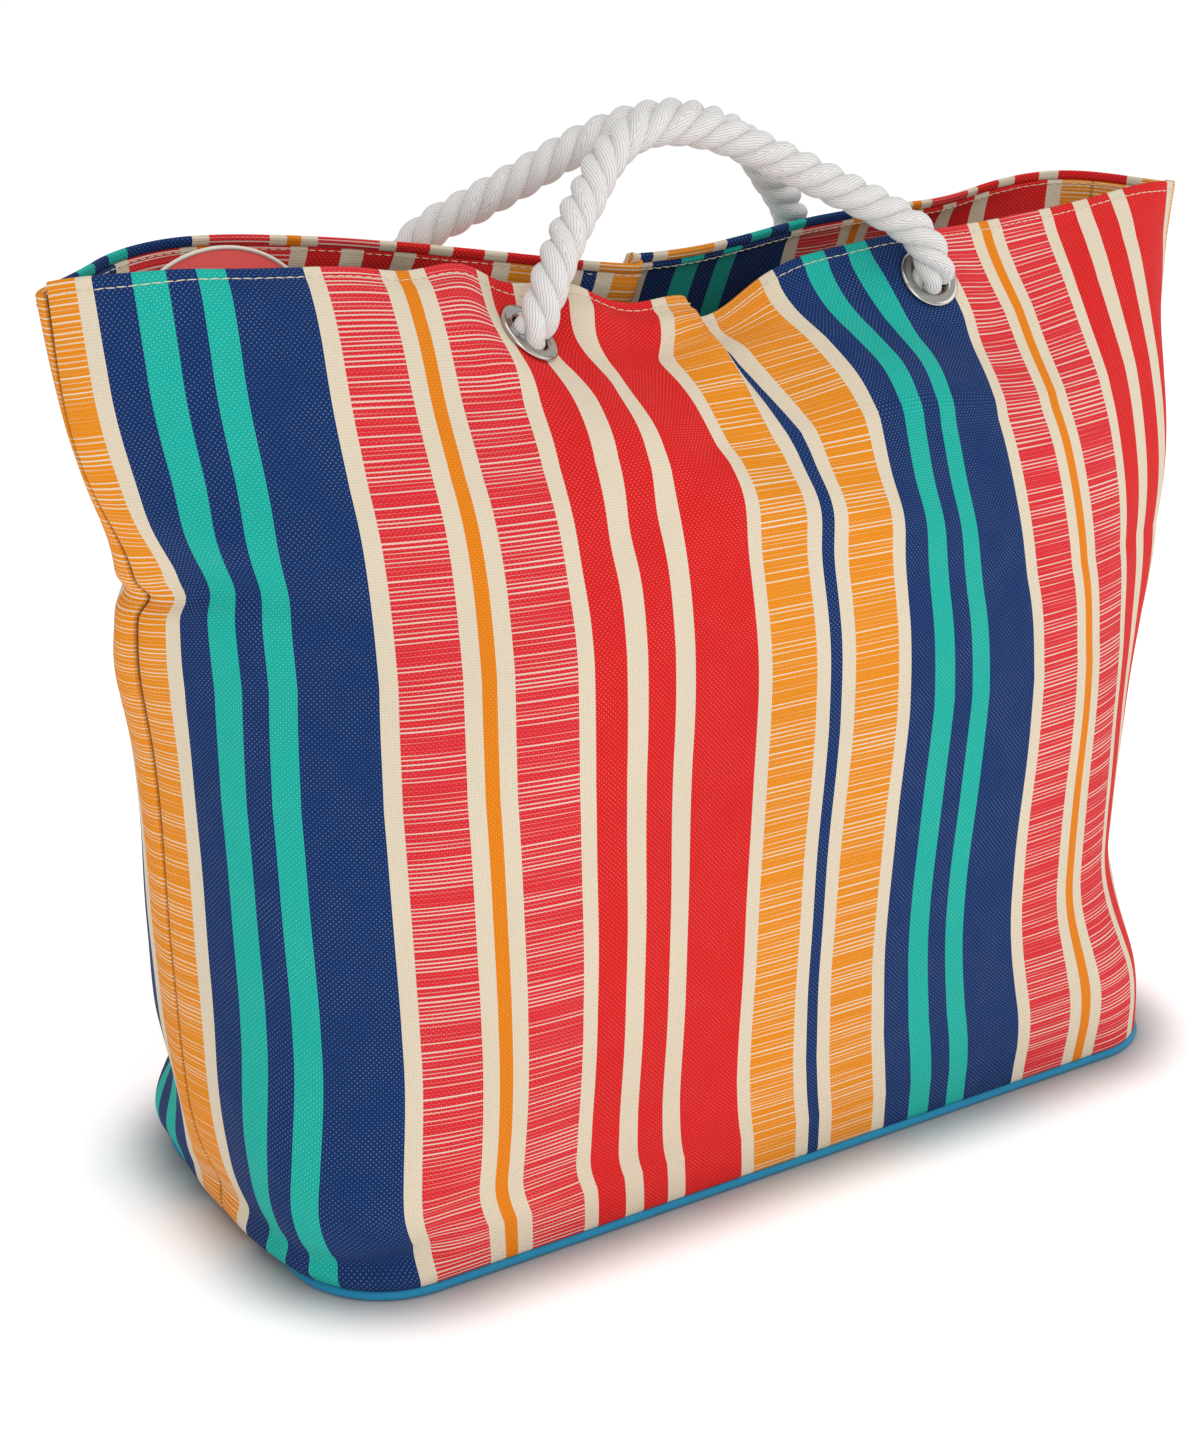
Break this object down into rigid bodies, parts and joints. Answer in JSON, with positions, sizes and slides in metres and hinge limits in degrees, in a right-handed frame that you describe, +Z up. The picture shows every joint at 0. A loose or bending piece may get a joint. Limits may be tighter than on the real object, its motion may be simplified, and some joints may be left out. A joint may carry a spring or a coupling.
{
  "type": "beach bag",
  "caption": "Standing striped canvas beach tote with a stiff piped base, an open mouth and twisted rope handles held by metal eyelets.",
  "frame": {"origin": "on the floor under the centre of the base, on the base panel's flat underside", "axes": "+X along the bag from its left seam to its right seam as seen from the front, -Y to the front, +Z up"},
  "size_m": [0.6206, 0.2393, 0.4994],
  "materials": {
    "striped_canvas": "coarse woven cotton canvas printed with stripes of navy, teal, orange, coral red and cream",
    "navy_canvas": "coarse woven navy canvas",
    "lining_cloth": "plain cream woven lining",
    "blue_piping": "blue cloth-covered cord",
    "board": "plain grey stiff board",
    "nickel": "polished nickel plate",
    "cotton_rope": "white cotton, three twisted strands",
    "coral_cloth": "smooth coral cloth",
    "cream_binding": "narrow cream binding"
  },
  "bodies": {
    "bag": {"back_facing": "striped_canvas", "back_left_eyelet": "nickel", "back_left_knot": "cotton_rope", "back_left_rope_end": "cotton_rope", "back_left_washer": "nickel", "back_lining": "lining_cloth", "back_panel": "striped_canvas", "back_right_eyelet": "nickel", "back_right_knot": "cotton_rope", "back_right_rope_end": "cotton_rope", "back_right_washer": "nickel", "base_board": "board", "base_lining": "lining_cloth", "base_panel": "navy_canvas", "base_piping": "blue_piping", "front_facing": "striped_canvas", "front_left_eyelet": "nickel", "front_left_knot": "cotton_rope", "front_left_rope_end": "cotton_rope", "front_left_washer": "nickel", "front_lining": "lining_cloth", "front_panel": "striped_canvas", "front_right_eyelet": "nickel", "front_right_knot": "cotton_rope", "front_right_rope_end": "cotton_rope", "front_right_washer": "nickel", "pouch_back": "navy_canvas", "pouch_back_binding": "cream_binding", "pouch_front": "coral_cloth", "pouch_front_binding": "cream_binding"},
    "handle_front": {"front_rope_handle": "cotton_rope"},
    "handle_back": {"back_rope_handle": "cotton_rope"}
  },
  "joints": [
    {"name": "front_handle_swing", "type": "hinge", "parent": "bag", "child": "handle_front", "pos_m": [-0.00378, -0.0591, 0.42144], "axis": [0.9995, -0.0259, 0.0188], "range_deg": [0, 165]},
    {"name": "back_handle_swing", "type": "hinge", "parent": "bag", "child": "handle_back", "pos_m": [-0.00711, 0.06285, 0.41031], "axis": [-0.9972, 0.0709, 0.0242], "range_deg": [0, 170]}
  ]
}
